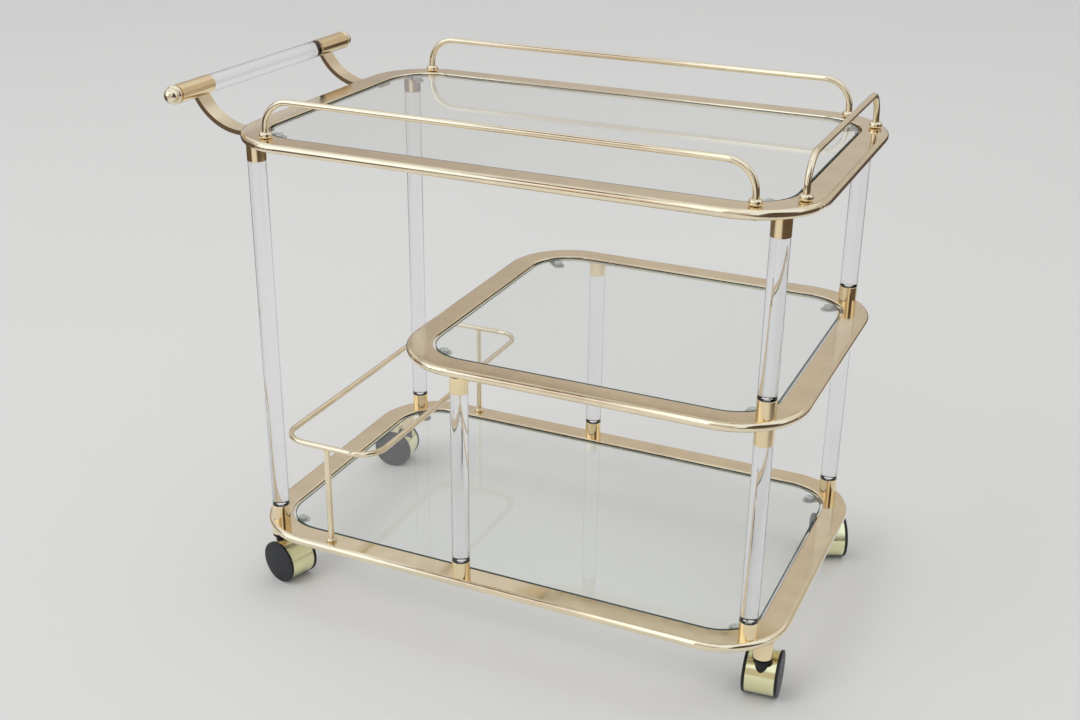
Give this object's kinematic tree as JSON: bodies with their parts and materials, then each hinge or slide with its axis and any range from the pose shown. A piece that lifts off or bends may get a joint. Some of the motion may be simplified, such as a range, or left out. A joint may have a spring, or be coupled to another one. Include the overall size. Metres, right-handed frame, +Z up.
{
  "type": "dessert trolley",
  "caption": "Serving trolley with glass shelves in gold tube frames, clear acrylic posts, gallery rails, a bottle rail, a push handle and twin-wheel casters.",
  "frame": {"origin": "on the floor, under the middle of the whole trolley's outline", "axes": "+Z up, +X along the trolley away from the handle, -Y is the front side with the viewer"},
  "size_m": [0.8424, 0.48, 0.6975],
  "materials": {
    "gold_plate": "polished gold plate",
    "hood_gold": "bright gold",
    "nickel_plate": "dull nickel",
    "shelf_glass": "clear, green edge",
    "clear_acrylic": "clear, polished",
    "clear_pad": "clear soft pad",
    "zinc_steel": "zinc plated",
    "brass_screw": "polished",
    "black_plastic": "black",
    "black_wheel": "black, smooth"
  },
  "bodies": {
    "trolley": {"bottom_frame": "gold_plate", "middle_frame": "gold_plate", "top_frame": "gold_plate", "glass_tabs": "nickel_plate", "bottom_frame_ferrules": "gold_plate", "middle_frame_ferrules": "gold_plate", "top_frame_ferrules": "gold_plate", "front_gallery_rail": "gold_plate", "rear_gallery_rail": "gold_plate", "end_gallery_rail": "gold_plate", "gallery_collars": "gold_plate", "bottle_rail": "gold_plate", "bottle_rail_posts": "gold_plate", "bottle_rail_collars": "gold_plate", "handle_sleeves": "gold_plate", "handle_caps": "gold_plate", "front_handle_arm": "gold_plate", "rear_handle_arm": "gold_plate", "caster_sockets": "gold_plate", "bottom_glass": "shelf_glass", "middle_glass": "shelf_glass", "top_glass": "shelf_glass", "glass_pads": "clear_pad", "handle_grip": "clear_acrylic", "front_left_rod": "clear_acrylic", "front_middle_rod": "clear_acrylic", "front_right_lower_rod": "clear_acrylic", "front_right_upper_rod": "clear_acrylic", "rear_left_rod": "clear_acrylic", "rear_middle_rod": "clear_acrylic", "rear_right_lower_rod": "clear_acrylic", "rear_right_upper_rod": "clear_acrylic", "bottom_post_screws": "zinc_steel", "middle_frame_studs": "zinc_steel", "top_frame_studs": "zinc_steel", "handle_screws": "zinc_steel", "caster_stems": "zinc_steel", "gallery_screws": "brass_screw", "bottle_rail_screws": "brass_screw"},
    "front_left_caster": {"front_left_caster_hood": "hood_gold", "front_left_caster_body": "black_plastic", "front_left_caster_axle": "zinc_steel"},
    "front_left_caster_left_wheel": {"front_left_caster_left_wheel": "black_wheel"},
    "front_left_caster_right_wheel": {"front_left_caster_right_wheel": "black_wheel"},
    "front_right_caster": {"front_right_caster_hood": "hood_gold", "front_right_caster_body": "black_plastic", "front_right_caster_axle": "zinc_steel"},
    "front_right_caster_left_wheel": {"front_right_caster_left_wheel": "black_wheel"},
    "front_right_caster_right_wheel": {"front_right_caster_right_wheel": "black_wheel"},
    "rear_left_caster": {"rear_left_caster_hood": "hood_gold", "rear_left_caster_body": "black_plastic", "rear_left_caster_axle": "zinc_steel"},
    "rear_left_caster_left_wheel": {"rear_left_caster_left_wheel": "black_wheel"},
    "rear_left_caster_right_wheel": {"rear_left_caster_right_wheel": "black_wheel"},
    "rear_right_caster": {"rear_right_caster_hood": "hood_gold", "rear_right_caster_body": "black_plastic", "rear_right_caster_axle": "zinc_steel"},
    "rear_right_caster_left_wheel": {"rear_right_caster_left_wheel": "black_wheel"},
    "rear_right_caster_right_wheel": {"rear_right_caster_right_wheel": "black_wheel"}
  },
  "joints": [
    {"name": "front_left_swivel", "type": "hinge", "parent": "trolley", "child": "front_left_caster", "pos_m": [-0.30711, -0.18132, 0.0607], "axis": [0, 0, 1], "continuous": true},
    {"name": "front_left_caster_left_wheel_spin", "type": "hinge", "parent": "front_left_caster", "child": "front_left_caster_left_wheel", "pos_m": [-0.29086, -0.18629, 0.03], "axis": [0.2924, 0.9563, 0], "continuous": true},
    {"name": "front_left_caster_right_wheel_spin", "type": "hinge", "parent": "front_left_caster", "child": "front_left_caster_right_wheel", "pos_m": [-0.29086, -0.18629, 0.03], "axis": [0.2924, 0.9563, 0], "continuous": true},
    {"name": "front_right_swivel", "type": "hinge", "parent": "trolley", "child": "front_right_caster", "pos_m": [0.39545, -0.18132, 0.0607], "axis": [0, 0, 1], "continuous": true},
    {"name": "front_right_caster_left_wheel_spin", "type": "hinge", "parent": "front_right_caster", "child": "front_right_caster_left_wheel", "pos_m": [0.39397, -0.16438, 0.03], "axis": [-0.9962, -0.0872, 0], "continuous": true},
    {"name": "front_right_caster_right_wheel_spin", "type": "hinge", "parent": "front_right_caster", "child": "front_right_caster_right_wheel", "pos_m": [0.39397, -0.16438, 0.03], "axis": [-0.9962, -0.0872, 0], "continuous": true},
    {"name": "rear_left_swivel", "type": "hinge", "parent": "trolley", "child": "rear_left_caster", "pos_m": [-0.30711, 0.18132, 0.0607], "axis": [0, 0, 1], "continuous": true},
    {"name": "rear_left_caster_left_wheel_spin", "type": "hinge", "parent": "rear_left_caster", "child": "rear_left_caster_left_wheel", "pos_m": [-0.3239, 0.17866, 0.03], "axis": [0.1564, -0.9877, 0], "continuous": true},
    {"name": "rear_left_caster_right_wheel_spin", "type": "hinge", "parent": "rear_left_caster", "child": "rear_left_caster_right_wheel", "pos_m": [-0.3239, 0.17866, 0.03], "axis": [0.1564, -0.9877, 0], "continuous": true},
    {"name": "rear_right_swivel", "type": "hinge", "parent": "trolley", "child": "rear_right_caster", "pos_m": [0.39545, 0.18132, 0.0607], "axis": [0, 0, 1], "continuous": true},
    {"name": "rear_right_caster_left_wheel_spin", "type": "hinge", "parent": "rear_right_caster", "child": "rear_right_caster_left_wheel", "pos_m": [0.38826, 0.19673, 0.03], "axis": [-0.9063, -0.4226, 0], "continuous": true},
    {"name": "rear_right_caster_right_wheel_spin", "type": "hinge", "parent": "rear_right_caster", "child": "rear_right_caster_right_wheel", "pos_m": [0.38826, 0.19673, 0.03], "axis": [-0.9063, -0.4226, 0], "continuous": true}
  ]
}
